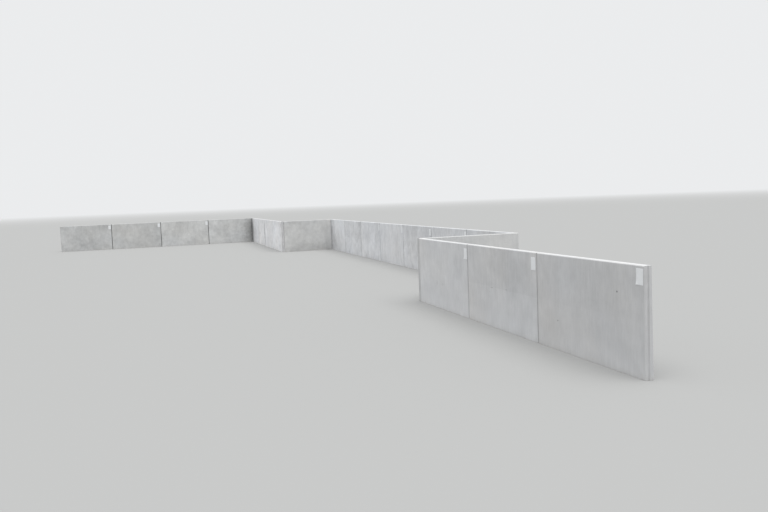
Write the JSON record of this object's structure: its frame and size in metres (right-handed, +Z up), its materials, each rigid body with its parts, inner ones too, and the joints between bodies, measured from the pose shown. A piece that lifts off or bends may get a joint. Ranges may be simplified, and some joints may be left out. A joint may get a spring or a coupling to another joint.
{
  "type": "precast concrete retaining wall",
  "caption": "Low retaining wall of upright precast concrete panels with chamfered tongue and groove joints, stepping back round a recess and turning across its far end.",
  "frame": {"origin": "middle of the wall's footprint, at ground level", "axes": "+X along the front run to its near end, +Y away from the yard that the panels face, +Z up"},
  "size_m": [28.1632, 9.84, 1.05],
  "materials": {
    "concrete": "smooth cast face, matt, with faint vertical streaks"
  },
  "bodies": {
    "root": {"front_panel_1": "concrete", "front_panel_2": "concrete", "front_panel_3": "concrete", "near_return_panel": "concrete", "back_panel_1": "concrete", "back_panel_2": "concrete", "back_panel_3": "concrete", "back_panel_4": "concrete", "back_panel_5": "concrete", "back_panel_6": "concrete", "back_panel_7": "concrete", "far_return_panel": "concrete", "side_panel_1": "concrete", "side_panel_2": "concrete", "side_panel_3": "concrete", "side_panel_4": "concrete", "end_panel_1": "concrete", "end_panel_2": "concrete", "end_panel_3": "concrete", "end_panel_4": "concrete"}
  },
  "joints": []
}
